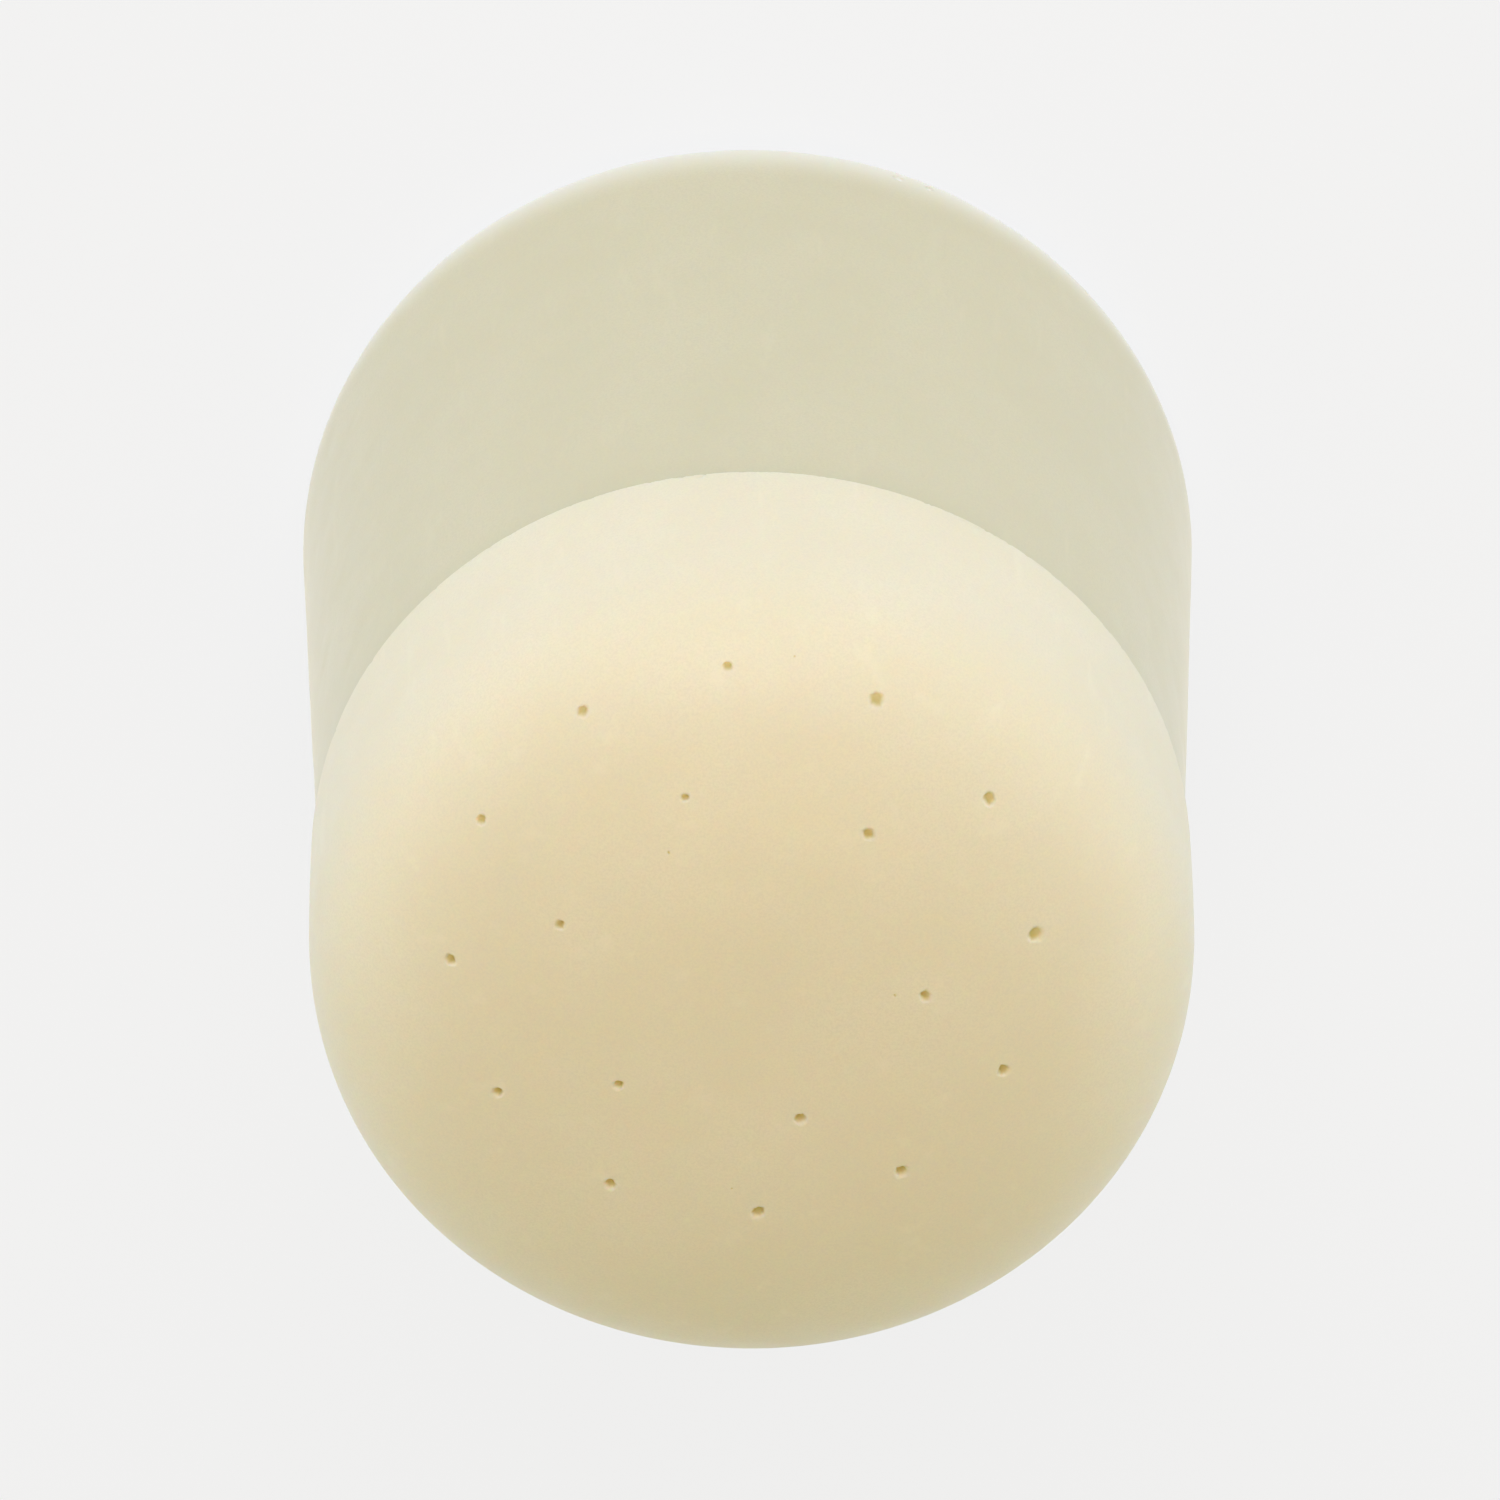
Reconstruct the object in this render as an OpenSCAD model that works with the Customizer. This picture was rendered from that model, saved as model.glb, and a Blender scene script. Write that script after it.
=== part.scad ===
// Shaving soap puck: a pressed soap drum that carries a wider domed crown.
// The base stands on z = 0 and the puck's axis is +Z. All sizes are millimetres.

/* [Body] */
// Radius of the drum where its side meets the rounded base edge
base_radius = 29.1; // [28:0.1:31]
// Radius of the drum at the seam under the crown, smaller by the mould's draft
seam_radius = 28; // [26.5:0.1:28.2]
// Height of the drum from the base to the seam
body_height = 43; // [26:0.5:50]

/* [Base edge] */
// Height over which the side curves in towards the base
edge_height = 5; // [3:0.5:7]
// Radius of the gentle curve at the foot of the side
edge_curve = 9; // [8:0.5:12]
// Radius of the small corner that meets the flat base
edge_corner = 1.5; // [0.8:0.1:2.5]

/* [Crown] */
// Greatest radius of the crown, which overhangs the seam
crown_radius = 28.5; // [28.4:0.1:31]
// Height of the crown above the seam, at the middle of the dome
crown_height = 26; // [25:0.5:30]
// Height above the seam at which the crown is widest
lip_height = 12.8; // [10:0.2:13.8]
// Radius of the faint bulge between the lip and the crown's widest point
lip_curve = 400; // [300:10:600]
// Radius of the small corner along the lip, over the seam
lip_corner = 0.6; // [0.3:0.1:1]
// Radius of the shoulder between the widest point and the dome
shoulder_radius = 10.8; // [8:0.2:11.8]

/* [Pin pits] */
// Number of pits in the outer ring
outer_pits = 12; // [6:1:16]
// Radius of the outer ring
outer_ring_radius = 18.8; // [15:0.2:20]
// Width of an outer pit at the surface
outer_pit_width = 0.8; // [0.6:0.1:1.6]
// Number of pits in the inner ring
inner_pits = 6; // [3:1:8]
// Radius of the inner ring
inner_ring_radius = 12; // [7:0.1:13]
// Width of an inner pit at the surface
inner_pit_width = 0.6; // [0.5:0.1:1.4]
// Depth of every pit
pit_depth = 1.3; // [0.6:0.1:2.5]
// How far the rings' shared centre lies off the puck's axis
ring_offset = 6.5; // [0:0.1:6.5]

/* [Hidden] */
$fn = 120;

// Where each ring starts and which way the rings are offset, as angles about +Z
outer_start = -87.6;
inner_start = -72.6;
offset_direction = -85;

// Each pit is a blunt cone, drawn past the surface so that it cuts a clean mouth
pit_floor_share = 0.45;
pit_overshoot = 1;

// The dome is the sphere that the shoulder's arc runs into without a kink
shoulder_reach = crown_radius - shoulder_radius;
dome_rise = crown_height - lip_height;
dome_radius = (pow(shoulder_reach, 2) + pow(dome_rise, 2) - pow(shoulder_radius, 2))
    / (2 * (dome_rise - shoulder_radius));
dome_centre = crown_height - dome_radius;
dome_edge = shoulder_reach * dome_radius / (dome_radius - shoulder_radius);

// Height of the crown's upper surface above the seam, at a distance from the axis
function upper_z(distance) = distance < dome_edge
    ? dome_centre + sqrt(pow(dome_radius, 2) - pow(distance, 2))
    : lip_height + sqrt(pow(shoulder_radius, 2) - pow(distance - shoulder_reach, 2));

// Half of a disc from height 0 up to its widest point. Its side curves in towards the
// foot, and a small corner, tangent to that curve and to the base, closes it.
module soft_foot(radius, height, curve, corner) {
    corner_reach = sqrt(pow(curve - corner, 2) - pow(height - corner, 2));
    foot_radius = radius - curve + corner_reach;
    corner_top = height - (height - corner) * curve / (curve - corner);
    square([foot_radius, height]);
    translate([foot_radius, corner])
        circle(corner);
    intersection() {
        translate([radius - curve, height])
            circle(curve);
        translate([0, corner_top])
            square([radius, height - corner_top]);
    }
}

// Half of the drum's cross-section, from the axis outwards
module body_profile() {
    soft_foot(base_radius, edge_height, edge_curve, edge_corner);
    polygon([
        [0, edge_height],
        [base_radius, edge_height],
        [seam_radius, body_height],
        [0, body_height]
    ]);
}

// Half of the crown's cross-section, with the seam at height 0
module crown_profile() {
    soft_foot(crown_radius, lip_height, lip_curve, lip_corner);
    intersection() {
        union() {
            translate([shoulder_reach, lip_height])
                circle(shoulder_radius);
            intersection() {
                translate([0, dome_centre])
                    circle(dome_radius);
                square([dome_edge, crown_height]);
            }
        }
        translate([0, lip_height])
            square([crown_radius, dome_rise]);
    }
}

// One pit, with its mouth at height 0 and its axis along +Z
module pit(width) {
    slope = width * (1 - pit_floor_share) / pit_depth;
    translate([0, 0, -pit_depth])
        cylinder(h = pit_depth + pit_overshoot, d1 = width * pit_floor_share,
            d2 = width + slope * pit_overshoot, $fn = 32);
}

// A ring of equally spaced pits, each sunk from the crown's upper surface
module pit_ring(count, radius, width, start) {
    for (i = [0 : count - 1]) {
        angle = start + i * 360 / count;
        x = ring_offset * cos(offset_direction) + radius * cos(angle);
        y = ring_offset * sin(offset_direction) + radius * sin(angle);
        translate([x, y, upper_z(norm([x, y]))])
            pit(width);
    }
}

module soap_body() {
    color("#DAD4BA")
        rotate_extrude()
            body_profile();
}

module domed_crown() {
    color("#E8DAB4")
        translate([0, 0, body_height])
            difference() {
                rotate_extrude()
                    crown_profile();
                pit_ring(outer_pits, outer_ring_radius, outer_pit_width, outer_start);
                pit_ring(inner_pits, inner_ring_radius, inner_pit_width, inner_start);
            }
}

soap_body();
domed_crown();
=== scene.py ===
"""Shaving soap puck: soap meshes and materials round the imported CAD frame, with a soft studio."""

import math

import bmesh
import bpy
import numpy as np
from mathutils import Matrix, Vector, noise


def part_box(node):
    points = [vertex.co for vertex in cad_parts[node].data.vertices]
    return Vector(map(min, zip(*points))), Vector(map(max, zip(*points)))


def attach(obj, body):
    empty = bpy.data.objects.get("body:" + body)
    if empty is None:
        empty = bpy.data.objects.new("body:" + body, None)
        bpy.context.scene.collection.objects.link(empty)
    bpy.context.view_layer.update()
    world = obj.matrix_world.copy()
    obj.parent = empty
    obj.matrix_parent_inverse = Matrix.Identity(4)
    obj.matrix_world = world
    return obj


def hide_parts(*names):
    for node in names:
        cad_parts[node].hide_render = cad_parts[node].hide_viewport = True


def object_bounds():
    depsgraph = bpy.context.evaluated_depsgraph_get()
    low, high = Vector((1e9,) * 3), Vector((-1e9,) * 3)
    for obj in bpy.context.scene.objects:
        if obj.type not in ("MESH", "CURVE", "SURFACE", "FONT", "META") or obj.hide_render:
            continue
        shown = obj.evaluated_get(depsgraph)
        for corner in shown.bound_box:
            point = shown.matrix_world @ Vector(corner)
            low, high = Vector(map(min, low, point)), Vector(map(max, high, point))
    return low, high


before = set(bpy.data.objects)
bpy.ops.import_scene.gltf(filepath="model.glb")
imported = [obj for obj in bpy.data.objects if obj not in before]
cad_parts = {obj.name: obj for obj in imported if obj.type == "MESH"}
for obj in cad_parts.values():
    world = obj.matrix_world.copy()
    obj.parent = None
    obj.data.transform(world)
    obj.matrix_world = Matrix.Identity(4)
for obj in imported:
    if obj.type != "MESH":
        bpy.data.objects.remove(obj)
cad_low, cad_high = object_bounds()

MM = 0.001

# Sizes that a node's box doesn't give, as in the CAD source
SEAM_RADIUS = 28 * MM
EDGE_HEIGHT = 5 * MM
EDGE_CURVE = 9 * MM
EDGE_CORNER = 1.5 * MM
LIP_CURVE = 400 * MM
LIP_CORNER = 0.6 * MM
RING_OFFSET = 6.5 * MM
OFFSET_DIRECTION = math.radians(-85)
OUTER_RING_RADIUS = 18.8 * MM
INNER_RING_RADIUS = 12 * MM
OUTER_START = math.radians(-87.6)
INNER_START = math.radians(-72.6)

# The crown's side up to LIP_HEIGHT, then its shoulder and dome as one superellipse. It keeps within
# 0.4 mm of the CAD's side and two arcs, without the ring that shows where two arcs meet
LIP_HEIGHT = 10.5 * MM
DOME_POWER = 2.65

# Widths of the pits in the order of their rings, in millimetres: they came out uneven
OUTER_WIDTHS = (0.75, 0.85, 0.75, 0.8, 0.8, 0.85, 1.0, 0.95, 0.9, 1.1, 0.95, 1.15)
INNER_WIDTHS = (0.6, 0.7, 0.75, 0.85, 0.85, 0.85)
PIT_DEPTH = 0.5 * MM

# Height of the faint lip round a pit, which is up to 1.4 times this where the pale painted highlight
# lies
PIT_LIP = 0.015 * MM

# Stray pinpricks in the crown, as (distance from the axis in mm, angle in degrees, width in mm)
PINPRICKS = ((10, -156.2, 0.25), (15.3, -69.9, 0.22), (25.8, -96.5, 0.18), (10.4, 82, 0.16))

# Chips in the rim of the base, as (angle in degrees, half length in degrees)
RIM_CHIPS = ((-110.5, 0.6), (-114.8, 0.42), (-140.5, 0.3), (35, 0.5), (121, 0.65))

# Height of the chips' middles, their half height, and how far in they reach
CHIP_HEIGHT = 2.8 * MM
CHIP_HALF_HEIGHT = 0.42 * MM
CHIP_DEPTH = 0.28 * MM

# How far in the uneven skin lies from the true round shape
BODY_WAVE = 0.05 * MM
BODY_DENTS = 0.03 * MM
CROWN_WAVE = 0.04 * MM

# The crown's lip has crumbled back by the first amount, and by up to the second more in places
LIP_WEAR = 0.03 * MM
LIP_CRUMBS = 0.16 * MM

# Faces round the axis in each mesh
COLUMNS = 480

# The studio, in metres
LAMP_DISTANCE = 0.8
FLOOR_HALF = 4.0


def smooth_step(low, high, x):
    """0 below low, 1 above high, and a smooth rise between."""
    t = np.clip((np.asarray(x, float) - low) / (high - low), 0, 1)
    return t * t * (3 - 2 * t)


def rough(points, size, octaves=3, shift=0.0):
    """Fractal noise at each point, roughly from -1 to 1, with features of the given size."""
    scale = 1 / size
    move = Vector((shift, shift * 0.7, -shift))
    return np.array([noise.fractal(Vector(p) * scale + move, 0.8, 2.1, octaves) for p in points])


def arc(centre, radius, start, end, count):
    """Points (distance from the axis, height) along an arc, with angles in degrees."""
    angles = np.radians(np.linspace(start, end, count))
    return np.stack([centre[0] + radius * np.cos(angles), centre[1] + radius * np.sin(angles)], 1)


def soft_foot(radius, height, curve, corner, base, counts):
    """The half outline from the axis along the base, round the corner and up to the widest point."""
    reach = math.sqrt((curve - corner) ** 2 - (height - corner) ** 2)
    foot = radius - curve + reach
    lean = -math.degrees(math.atan2(height - corner, reach))
    flat = np.stack([np.linspace(foot * 0.02, foot, counts[0]), np.zeros(counts[0])], 1)
    bend = arc((foot, corner), corner, -90, lean, counts[1])
    side = arc((radius - curve, height), curve, lean, 0, counts[2])
    return np.concatenate([flat[:-1], bend[:-1], side]) + (0, base)


def revolve(name, outline, columns):
    """A closed mesh from an outline that starts and ends near the axis."""
    rows = len(outline)
    turn = np.linspace(0, 2 * math.pi, columns, endpoint=False)
    radii, heights = outline[:, :1], outline[:, 1:]
    grid = np.stack(
        [radii * np.cos(turn), radii * np.sin(turn), np.repeat(heights, columns, 1)], -1
    ).reshape(-1, 3)
    ends = np.array([[0, 0, outline[0, 1]], [0, 0, outline[-1, 1]]])
    low, high = rows * columns, rows * columns + 1
    near = np.arange(columns)
    far = (near + 1) % columns
    faces = []
    for row in range(rows - 1):
        here, above = row * columns, (row + 1) * columns
        faces += np.stack([here + near, here + far, above + far, above + near], 1).tolist()
    last = (rows - 1) * columns
    faces += np.stack([np.full(columns, low), far, near], 1).tolist()
    faces += np.stack([np.full(columns, high), last + near, last + far], 1).tolist()
    mesh = bpy.data.meshes.new(name)
    mesh.from_pydata(np.concatenate([grid, ends]).tolist(), [], faces)
    return mesh


def positions(mesh):
    flat = np.zeros(len(mesh.vertices) * 3)
    mesh.vertices.foreach_get("co", flat)
    return flat.reshape(-1, 3)


def set_positions(mesh, points):
    mesh.vertices.foreach_set("co", np.asarray(points, float).ravel())
    mesh.update()


def write_attribute(mesh, name, values):
    attribute = mesh.attributes.new(name, "FLOAT", "POINT")
    attribute.data.foreach_set("value", np.asarray(values, np.float32))


def refine(mesh, wanted, cuts):
    """Cuts the faces whose middles pass the test into a finer grid."""
    work = bmesh.new()
    work.from_mesh(mesh)
    centres = np.array([face.calc_center_median() for face in work.faces])
    work.faces.ensure_lookup_table()
    edges = {edge for i in np.nonzero(wanted(centres))[0] for edge in work.faces[i].edges}
    edges = sorted(edges, key=lambda edge: edge.index)
    bmesh.ops.subdivide_edges(work, edges=edges, cuts=cuts, use_grid_fill=True)
    work.to_mesh(mesh)
    work.free()


def add_piece(mesh, node, material):
    """Adds the finished object, which rides with the frame and stands for its CAD node."""
    for polygon in mesh.polygons:
        polygon.use_smooth = True
    piece = bpy.data.objects.new(mesh.name, mesh)
    bpy.context.scene.collection.objects.link(piece)
    mesh.materials.append(material)
    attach(piece, "root")
    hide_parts(node)


def inwards(points, depth):
    """Moves points towards the axis by a depth each."""
    radius = np.maximum(np.hypot(points[:, 0], points[:, 1]), 1e-9)
    share = np.maximum(radius - depth, 0) / radius
    return np.stack([points[:, 0] * share, points[:, 1] * share, points[:, 2]], 1)


def chip_reach(points, chip):
    """How far points lie from a chip's middle along the rim and in height: 1 is at its edge."""
    angle, half = chip
    along = (np.degrees(np.arctan2(points[:, 1], points[:, 0])) - angle) / half
    up = (points[:, 2] - CHIP_HEIGHT) / CHIP_HALF_HEIGHT
    return np.hypot(along, up)


def near_chips(points):
    return np.any([chip_reach(points, chip) < 3.2 for chip in RIM_CHIPS], axis=0)


def rim_chips(points):
    """1 inside a chip and 0 away from all of them, with a ragged edge between."""
    grain = 1 + 0.35 * rough(points, 0.3 * MM, shift=4)
    shares = [1 - smooth_step(0.5, 1.2, chip_reach(points, chip) * grain) for chip in RIM_CHIPS]
    return np.max(shares, axis=0)


def make_body(material):
    """The drum: drafted side, rounded base edge with a few chips, and a slightly uneven skin."""
    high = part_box("soap_body")[1]
    radius, seam = high.x, high.z
    foot = soft_foot(radius, EDGE_HEIGHT, EDGE_CURVE, EDGE_CORNER, 0, (8, 14, 18))
    heights = np.linspace(EDGE_HEIGHT, seam, 84)
    climb = (heights - EDGE_HEIGHT) / (seam - EDGE_HEIGHT)
    side = np.stack([radius + (SEAM_RADIUS - radius) * climb, heights], 1)
    top = np.stack([np.linspace(SEAM_RADIUS, SEAM_RADIUS * 0.02, 6), np.full(6, seam)], 1)
    mesh = revolve("soap_drum", np.concatenate([foot, side[1:], top[1:]]), COLUMNS)
    refine(mesh, near_chips, 2)
    points = positions(mesh)
    wall = smooth_step(20 * MM, 26 * MM, np.hypot(points[:, 0], points[:, 1]))
    wave = 0.5 + 0.5 * rough(points, 16 * MM)
    dents = smooth_step(0.35, 0.9, rough(points, 5 * MM, shift=9))
    chip = rim_chips(points)
    depth = wall * (BODY_WAVE * wave + BODY_DENTS * dents) + CHIP_DEPTH * chip
    set_positions(mesh, inwards(points, depth))
    write_attribute(mesh, "pale_marks", chip)
    add_piece(mesh, "soap_body", material)


def dome_height(distance, radius, lip, top):
    """Height of the shoulder and dome at a distance from the axis."""
    share = np.clip(distance / radius, 0, 1)
    return lip + (top - lip) * (1 - share**DOME_POWER) ** (1 / DOME_POWER)


def pit_places():
    """(x, y, width, stretch, lean) of each pit, in ring order, then the stray pinpricks."""
    random = np.random.default_rng(12)
    places = []
    rings = (
        (OUTER_RING_RADIUS, OUTER_START, OUTER_WIDTHS),
        (INNER_RING_RADIUS, INNER_START, INNER_WIDTHS),
    )
    for radius, start, widths in rings:
        for i, width in enumerate(widths):
            angle = start + i * 2 * math.pi / len(widths)
            x = RING_OFFSET * math.cos(OFFSET_DIRECTION) + radius * math.cos(angle)
            y = RING_OFFSET * math.sin(OFFSET_DIRECTION) + radius * math.sin(angle)
            places.append((x, y, width * MM, random.uniform(0.9, 1.1), random.uniform(0, math.pi)))
    for distance, angle, width in PINPRICKS:
        turn = math.radians(angle)
        x, y = distance * MM * math.cos(turn), distance * MM * math.sin(turn)
        places.append((x, y, width * MM, 1.1, 0.5))
    return places


def pit_field(points, places, surface):
    """Depth of the pits at each point, how deep inside one it lies, and how much pale painted
    highlight lies at its lip.

    Each pit is a dimple with a steep wall towards the puck's axis and a gentle slope opposite.
    """
    depth, inside, painted_glint = np.zeros((3, len(points)))
    for x, y, width, stretch, lean in places:
        near = np.nonzero(np.hypot(points[:, 0] - x, points[:, 1] - y) < 1.6 * width)[0]
        spot = points[near]
        dx, dy = spot[:, 0] - x, spot[:, 1] - y
        along = dx * math.cos(lean) + dy * math.sin(lean)
        across = dy * math.cos(lean) - dx * math.sin(lean)
        climb = spot[:, 2] - surface(math.hypot(x, y))
        ragged = 1 + 0.2 * rough(spot, 0.3 * width, octaves=2, shift=x * 900)
        reach = np.sqrt((along * stretch) ** 2 + (across / stretch) ** 2 + climb**2)
        reach *= ragged / (width / 2)
        outward = np.clip((dx * x + dy * y) / max(math.hypot(x, y), 1e-9) / (width / 2), -1, 1)
        slope = 1 - smooth_step(0.4 - 0.35 * outward, 1.1, reach)
        bore = slope * (0.62 - 0.38 * outward)
        size = min(1.0, width / (0.8 * MM))
        lip = np.exp(-(((reach - 1.3) / 0.2) ** 2))
        patch = smooth_step(0.2, 0.7, rough(spot, 0.5 * width, octaves=2, shift=y * 700))
        depth[near] += size * PIT_DEPTH * bore - PIT_LIP * lip * (0.4 + patch)
        inside[near] = np.maximum(inside[near], bore)
        # Painted highlight: a pale arc on a pit's lip stands in for the lit crescent of the pit's
        # wall
        painted_glint[near] = np.maximum(painted_glint[near], lip * patch)
    return depth, inside, painted_glint


def make_crown(material):
    """The crown: a crumbly lip, a smooth shoulder and dome, and its two rings of pits."""
    low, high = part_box("domed_crown")
    radius, seam, top = high.x, low.z, high.z
    lip = seam + LIP_HEIGHT
    foot = soft_foot(radius, LIP_HEIGHT, LIP_CURVE, LIP_CORNER, seam, (6, 9, 26))
    sweep = np.linspace(0, math.pi / 2, 96)[1:-1]
    distance = radius * np.cos(sweep) ** (2 / DOME_POWER)
    height = lip + (top - lip) * np.sin(sweep) ** (2 / DOME_POWER)
    keep = distance > 0.4 * MM
    dome = np.stack([distance, height], 1)[keep]
    mesh = revolve("soap_crown", np.concatenate([foot, dome]), COLUMNS)
    places = pit_places()

    def surface(distance):
        return dome_height(distance, radius, lip, top)

    def near_pits(points):
        flat = np.stack([points[:, 0], points[:, 1]], 1)
        close = [np.hypot(*(flat - (p[0], p[1])).T) < max(1.05 * p[2], 0.45 * MM) for p in places]
        return np.any(close, axis=0) & (points[:, 2] > lip)

    def near_lip(points):
        outside = np.hypot(points[:, 0], points[:, 1]) > 27.8 * MM
        return (points[:, 2] < seam + 1.2 * MM) & outside

    refine(mesh, near_pits, 4)
    refine(mesh, near_lip, 1)
    points = positions(mesh)
    distance = np.hypot(points[:, 0], points[:, 1])
    on_dome = (points[:, 2] > lip + 0.2 * MM) & (distance < 27 * MM)
    points[on_dome, 2] = surface(distance[on_dome])
    depth, inside, painted_glint = pit_field(points, places, surface)
    depth *= on_dome
    skin = smooth_step(seam, lip + 2 * MM, points[:, 2])
    wave = 0.5 + 0.5 * rough(points, 14 * MM, shift=3)
    points[:, 2] -= depth + CROWN_WAVE * wave * skin
    edge = 1 - smooth_step(seam + 0.5 * MM, seam + 1.6 * MM, points[:, 2])
    edge *= smooth_step(27 * MM, 27.9 * MM, distance)
    crumbly = 0.35 + 0.65 * smooth_step(-0.1, 0.6, rough(points, 9 * MM, shift=6))
    crumbs = smooth_step(0.0, 0.8, rough(points, 0.5 * MM, shift=2))
    points = inwards(points, edge * crumbly * (LIP_WEAR + LIP_CRUMBS * crumbs))
    set_positions(mesh, points)
    write_attribute(mesh, "pit", inside)
    # The pale marks are the crumbled lip, which is wear, and the pale painted highlight at the pits'
    # lips
    write_attribute(mesh, "pale_marks", np.maximum(edge * crumbly * crumbs, painted_glint * on_dome))
    add_piece(mesh, "domed_crown", material)


class Nodes:
    """Short calls for building one material's node tree."""

    def __init__(self, name):
        self.material = bpy.data.materials.new(name)
        self.material.use_nodes = True
        self.tree = self.material.node_tree
        self.shader = self.tree.nodes["Principled BSDF"]
        self.place = self.tree.nodes.new("ShaderNodeTexCoord").outputs["Object"]

    def new(self, kind, **inputs):
        node = self.tree.nodes.new(kind)
        for name, value in inputs.items():
            self.feed(node.inputs[name.replace("_", " ")], value)
        return node

    def feed(self, socket, value):
        if isinstance(value, bpy.types.NodeSocket):
            self.tree.links.new(value, socket)
        else:
            socket.default_value = value

    def noise(self, size, detail=3.0, roughness=0.5, stretch=None):
        """Noise from 0 to 1 with features of the given size in metres, stretched along the axes."""
        place = self.place
        if stretch is not None:
            place = self.new("ShaderNodeMapping", Vector=self.place, Scale=stretch).outputs["Vector"]
        kind = "ShaderNodeTexNoise"
        node = self.new(kind, Vector=place, Scale=1 / size, Detail=detail, Roughness=roughness)
        return node.outputs["Fac"]

    def ramp(self, value, low, high, bottom=0.0, top=1.0):
        """Maps low..high of a value to bottom..top, smoothly and clamped."""
        node = self.tree.nodes.new("ShaderNodeMapRange")
        node.interpolation_type = "SMOOTHSTEP"
        wanted = {"Value": value, "From Min": low, "From Max": high, "To Min": bottom, "To Max": top}
        for name, given in wanted.items():
            self.feed(node.inputs[name], given)
        return node.outputs["Result"]

    def mix(self, share, first, second):
        node = self.tree.nodes.new("ShaderNodeMix")
        node.data_type = "RGBA"
        self.feed(node.inputs[0], share)
        self.feed(node.inputs[6], first)
        self.feed(node.inputs[7], second)
        return node.outputs[2]

    def height(self):
        return self.new("ShaderNodeSeparateXYZ", Vector=self.place).outputs["Z"]

    def attribute(self, name):
        node = self.tree.nodes.new("ShaderNodeAttribute")
        node.attribute_name = name
        return node.outputs["Fac"]

    def bump(self, height, distance, strength, normal=None):
        node = self.new("ShaderNodeBump", Height=height, Distance=distance, Strength=strength)
        if normal is not None:
            self.feed(node.inputs["Normal"], normal)
        return node.outputs["Normal"]


def soap(name, light, deep, bloom):
    """Pressed soap: mottled, finely grained, satin and a little translucent.

    bloom is the weight of the powdery sheen that pales the soap where it turns away.
    """
    nodes = Nodes(name)
    mottle = nodes.ramp(nodes.noise(9 * MM, 4), 0.3, 0.7)
    colour = nodes.mix(mottle, deep, light)
    grain = nodes.noise(0.16 * MM, 2, 0.7)
    darker = tuple(c * 0.93 for c in light[:3]) + (1,)
    colour = nodes.mix(nodes.ramp(grain, 0.35, 0.7, 0.0, 0.8), colour, darker)
    streaks = nodes.noise(2.2 * MM, 3, 0.6, stretch=(1, 1, 0.22))
    pale = tuple(min(1.0, c * 1.05) for c in light[:3]) + (1,)
    colour = nodes.mix(nodes.ramp(streaks, 0.58, 0.75, 0.0, 0.35), colour, pale)
    rough_share = nodes.ramp(nodes.noise(3 * MM, 3), 0.3, 0.7, 0.44, 0.56)
    nodes.feed(nodes.shader.inputs["Roughness"], rough_share)
    normal = nodes.bump(nodes.noise(2.5 * MM, 4, 0.6), 0.04 * MM, 0.35)
    normal = nodes.bump(grain, 0.02 * MM, 0.35, normal)
    nodes.feed(nodes.shader.inputs["Normal"], normal)
    nodes.shader.inputs["IOR"].default_value = 1.46
    nodes.shader.inputs["Subsurface Weight"].default_value = 0.5
    nodes.shader.inputs["Subsurface Radius"].default_value = (1.0, 0.62, 0.3)
    nodes.shader.inputs["Subsurface Scale"].default_value = 2.2 * MM
    nodes.shader.inputs["Sheen Weight"].default_value = bloom
    nodes.shader.inputs["Sheen Roughness"].default_value = 0.35
    return nodes, colour


def body_material():
    """Grey-cream soap, with painted rim light paling the base edge and painted shade deepening it
    just under the seam.
    """
    nodes, colour = soap("body soap", (0.728, 0.68, 0.502, 1), (0.704, 0.657, 0.474, 1), 0.5)
    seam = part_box("soap_body")[1].z
    height = nodes.height()
    # Painted rim light: the base edge is painted paler, standing in for light glowing through the
    # rounded rim
    painted_rim_light = nodes.ramp(height, 6.5 * MM, 1 * MM, 0.0, 0.9)
    colour = nodes.mix(painted_rim_light, colour, (0.9, 0.88, 0.78, 1))
    # Painted shade: a band just under the seam is painted darker, where shade falls under the
    # crown's lip
    painted_seam_shade = nodes.ramp(height, seam - 3.2 * MM, seam, 0.0, 0.35)
    colour = nodes.mix(painted_seam_shade, colour, (0.66, 0.61, 0.42, 1))
    pale_marks = nodes.ramp(nodes.attribute("pale_marks"), 0.2, 0.8)
    colour = nodes.mix(pale_marks, colour, (0.97, 0.97, 0.93, 1))
    nodes.feed(nodes.shader.inputs["Base Color"], colour)
    return nodes.material


def crown_material():
    """Warm cream soap, ochre inside the pits with painted shade deepening it, pale where the lip has
    crumbled, and a pale painted highlight at the pits' lips.
    """
    nodes, colour = soap("crown soap", (0.92, 0.845, 0.675, 1), (0.9, 0.82, 0.635, 1), 0.1)
    # Paler where the lip has crumbled, and a painted highlight at the pits' lips
    pale_marks = nodes.ramp(nodes.attribute("pale_marks"), 0.3, 1.0, 0.0, 0.6)
    colour = nodes.mix(pale_marks, colour, (0.93, 0.91, 0.84, 1))
    # Ochre in the pits, painted darker than the soap: the ochre tint is the soap's own, and the
    # darkness is painted shade of the hollows
    pit = nodes.ramp(nodes.attribute("pit"), 0.05, 0.85, 0.0, 0.95)
    colour = nodes.mix(pit, colour, (0.7, 0.61, 0.25, 1))
    nodes.feed(nodes.shader.inputs["Base Color"], colour)
    return nodes.material


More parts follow.
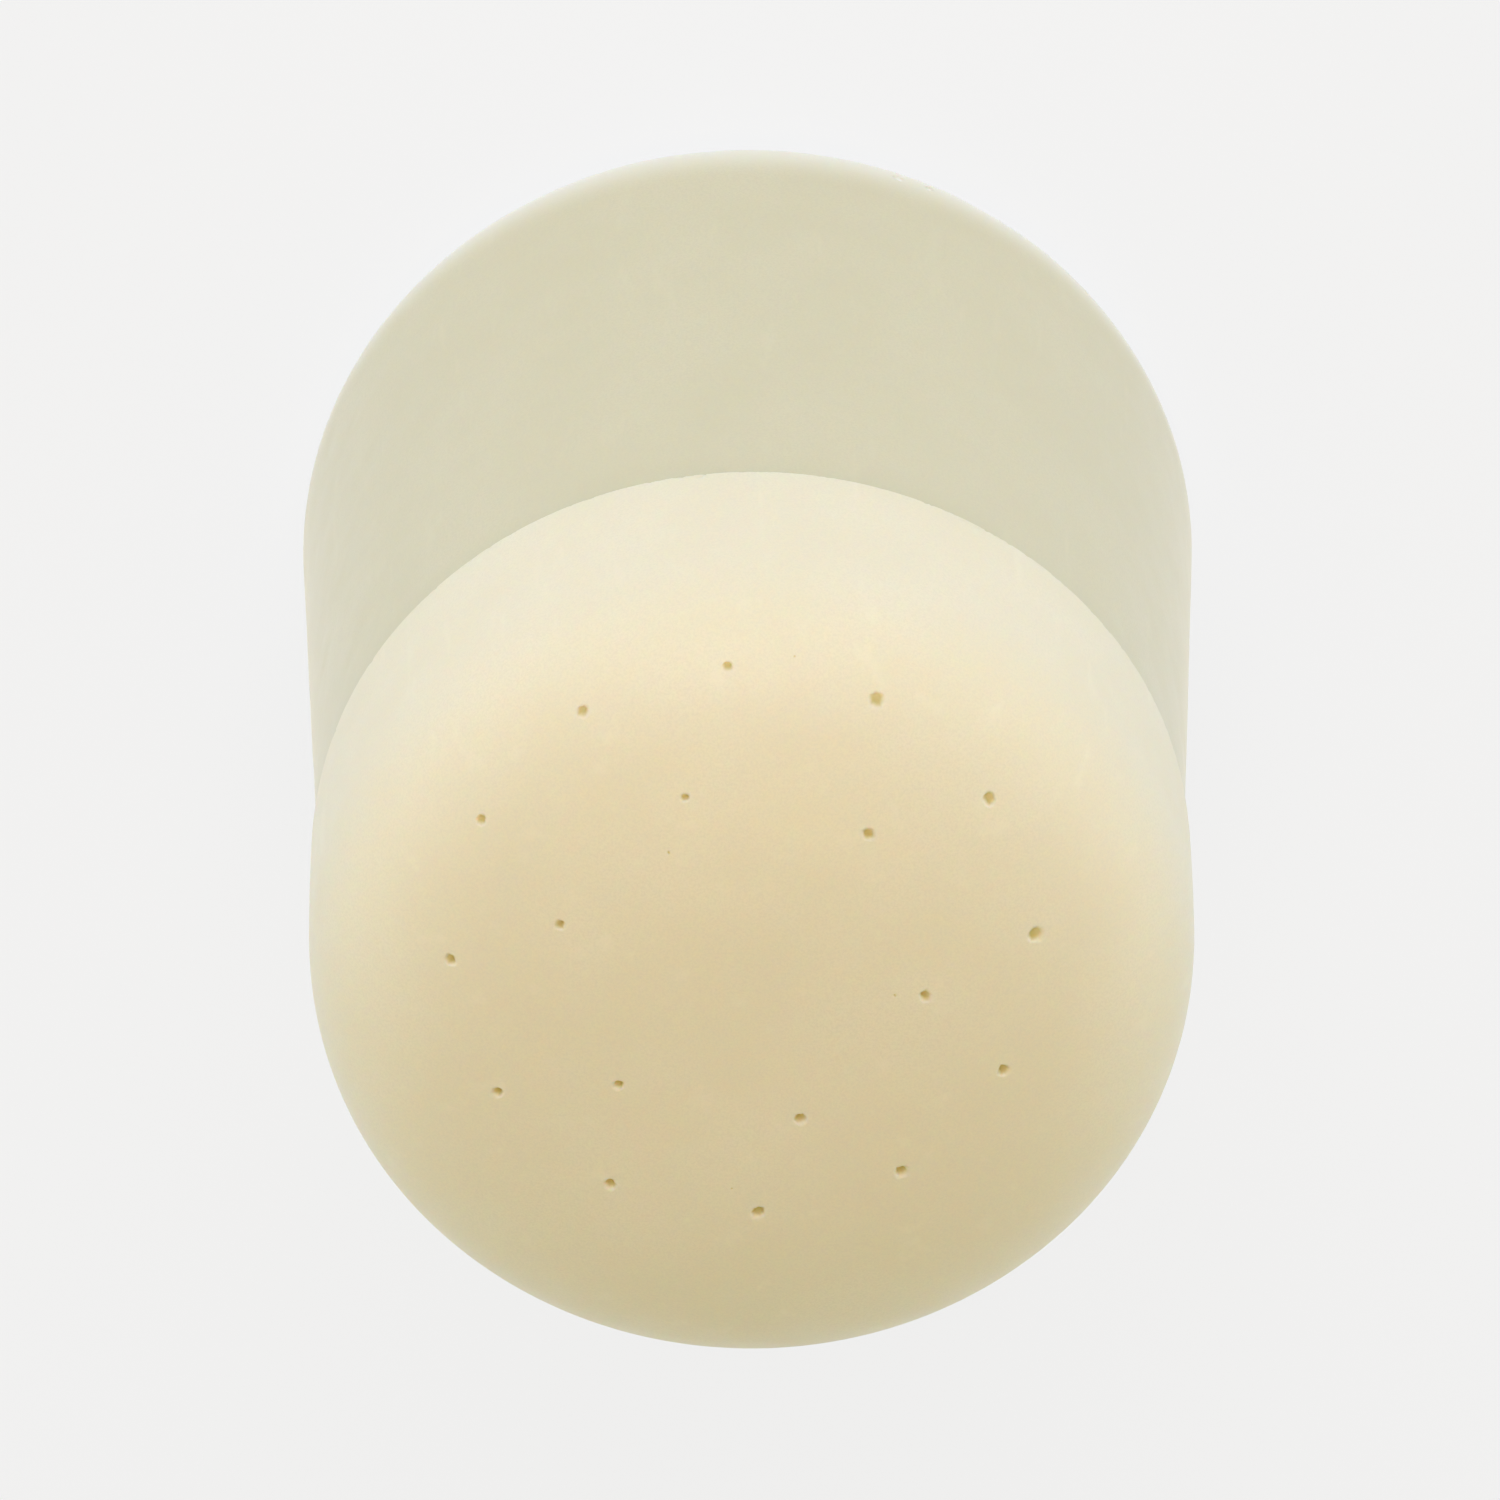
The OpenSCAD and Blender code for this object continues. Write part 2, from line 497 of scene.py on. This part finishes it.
def aim(thing, target, roll=0.0):
    """Turns a camera or lamp to face a point, rolled about its own axis."""
    direction = Vector(target) - thing.location
    turn = direction.to_track_quat("-Z", "Y").to_matrix().to_4x4() @ Matrix.Rotation(roll, 4, "Z")
    thing.rotation_mode = "QUATERNION"
    thing.rotation_quaternion = turn.to_quaternion()


def add_lamp(name, elevation, turn, size, power):
    """A round softbox that faces the puck. power is its red, green and blue in watts."""
    data = bpy.data.lights.new(name, "AREA")
    data.shape = "DISK"
    data.size = size
    data.energy = max(power)
    data.color = [share / data.energy for share in power]
    lamp = bpy.data.objects.new(name, data)
    bpy.context.scene.collection.objects.link(lamp)
    middle = (cad_low + cad_high) / 2
    rise, turn = math.radians(elevation), math.radians(turn)
    out = Vector((math.cos(rise) * math.cos(turn), math.cos(rise) * math.sin(turn), math.sin(rise)))
    lamp.location = middle + LAMP_DISTANCE * out
    aim(lamp, middle)
    lamp.visible_camera = False


def add_floor():
    """A pale floor that glows, so that its shadows stay faint."""
    mesh = bpy.data.meshes.new("floor")
    corners = [(-1, -1), (1, -1), (1, 1), (-1, 1)]
    points = [(x * FLOOR_HALF, y * FLOOR_HALF, 0) for x, y in corners]
    mesh.from_pydata(points, [], [(0, 1, 2, 3)])
    floor = bpy.data.objects.new("floor", mesh)
    bpy.context.scene.collection.objects.link(floor)
    material = bpy.data.materials.new("floor paper")
    material.use_nodes = True
    shader = material.node_tree.nodes["Principled BSDF"]
    shader.inputs["Base Color"].default_value = (0.12, 0.12, 0.12, 1)
    shader.inputs["Roughness"].default_value = 1.0
    shader.inputs["Specular IOR Level"].default_value = 0.0
    shader.inputs["Emission Color"].default_value = (0.983, 0.987, 1, 1)
    shader.inputs["Emission Strength"].default_value = 0.81
    mesh.materials.append(material)


def add_world(backdrop, horizon):
    """A plain backdrop for the camera, and for everything else a glow that fades with height."""
    world = bpy.data.worlds.new("studio")
    bpy.context.scene.world = world
    world.use_nodes = True
    tree = world.node_tree
    seen = tree.nodes["Background"]
    seen.inputs["Color"].default_value = backdrop
    direction = tree.nodes.new("ShaderNodeTexCoord").outputs["Generated"]
    parts = tree.nodes.new("ShaderNodeSeparateXYZ")
    tree.links.new(direction, parts.inputs[0])
    fade = tree.nodes.new("ShaderNodeMapRange")
    fade.inputs["From Max"].default_value = 1.0
    fade.inputs["To Min"].default_value = 1.0
    fade.inputs["To Max"].default_value = 0.0
    tree.links.new(parts.outputs["Z"], fade.inputs["Value"])
    strength = tree.nodes.new("ShaderNodeMath")
    strength.operation = "POWER"
    strength.inputs[1].default_value = 2.0
    tree.links.new(fade.outputs["Result"], strength.inputs[0])
    light = tree.nodes.new("ShaderNodeBackground")
    light.inputs["Color"].default_value = horizon
    tree.links.new(strength.outputs[0], light.inputs["Strength"])
    path = tree.nodes.new("ShaderNodeLightPath")
    mix = tree.nodes.new("ShaderNodeMixShader")
    tree.links.new(path.outputs["Is Camera Ray"], mix.inputs[0])
    tree.links.new(light.outputs[0], mix.inputs[1])
    tree.links.new(seen.outputs[0], mix.inputs[2])
    tree.links.new(mix.outputs[0], tree.nodes["World Output"].inputs["Surface"])


def add_camera(elevation, roll, lens, width_in_view, above):
    """A long lens above the -Y side, rolled so that the near side of the drum is at the top.

    width_in_view is how wide the frame is at the puck, and above moves the puck up in it.
    """
    data = bpy.data.cameras.new("camera")
    data.lens = lens
    camera = bpy.data.objects.new("camera", data)
    bpy.context.scene.collection.objects.link(camera)
    away = width_in_view * lens / data.sensor_width
    centre = (cad_low + cad_high) / 2
    back = Vector((0, -math.cos(elevation), math.sin(elevation)))
    camera.location = centre + back * away
    aim(camera, centre, roll)
    bpy.context.view_layer.update()
    axes = camera.rotation_quaternion.to_matrix()
    camera.location -= axes @ Vector((0, above, 0))
    data.clip_end = 20
    bpy.context.scene.camera = camera


add_camera(
    elevation=math.radians(59.7),
    roll=math.radians(179.4),
    lens=960,
    width_in_view=97.2 * MM,
    above=-2.1 * MM,
)
make_body(body_material())
make_crown(crown_material())
add_floor()
add_world(backdrop=(0.88, 0.88, 0.88, 1), horizon=(1.03, 1.18, 0.93, 1))
add_lamp("key", 35, -90, 0.5, (2.2, 2.08, 2.35))
add_lamp("warm top", 88, -90, 0.5, (2.28, 1.79, 0.93))
add_lamp("side +X", 15, 0, 0.6, (0.8, 0.8, 0.95))
add_lamp("side -X", 15, 180, 0.6, (0.8, 0.8, 0.95))
bpy.context.scene.view_settings.view_transform = "Standard"
